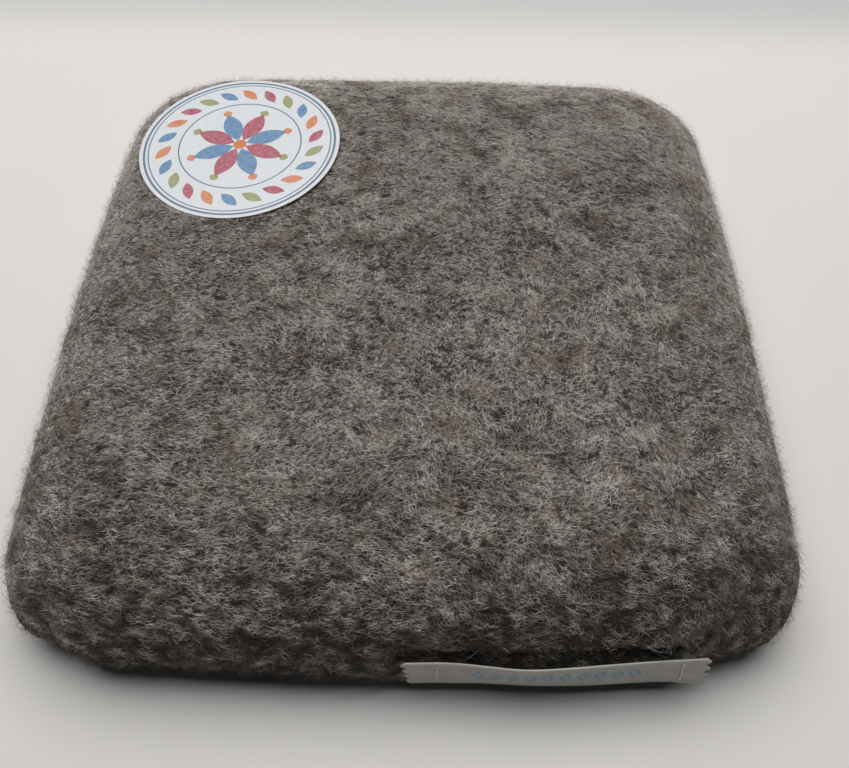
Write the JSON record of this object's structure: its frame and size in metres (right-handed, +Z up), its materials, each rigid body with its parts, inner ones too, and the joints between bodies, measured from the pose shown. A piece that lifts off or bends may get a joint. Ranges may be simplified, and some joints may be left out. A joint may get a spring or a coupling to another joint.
{
  "type": "needle felting mat",
  "caption": "Thick square pad of felted grey wool with rounded corners and shoulders, a sewn ribbon label and a round sticker, laid under needle felting work.",
  "frame": {"origin": "middle of the flat base", "axes": "+Z up out of the working surface, -Y towards the side with the ribbon label, +X to the right seen from that side"},
  "size_m": [0.2066, 0.21, 0.039],
  "materials": {
    "felted_wool": "matte felted natural grey wool",
    "carded_wool": "matte carded wool",
    "label_ribbon": "white woven ribbon",
    "sewing_thread": "white twisted thread",
    "sticker_vinyl": "satin printed vinyl film",
    "sticker_glue": "clear adhesive layer"
  },
  "bodies": {
    "root": {"top_skin": "felted_wool", "bottom_skin": "felted_wool", "core_batt_1": "carded_wool", "core_batt_2": "carded_wool", "core_batt_3": "carded_wool", "core_batt_4": "carded_wool", "core_batt_5": "carded_wool", "ribbon_label": "label_ribbon", "label_stitch_left": "sewing_thread", "label_stitch_right": "sewing_thread", "sticker_film": "sticker_vinyl", "sticker_adhesive": "sticker_glue"}
  },
  "joints": []
}
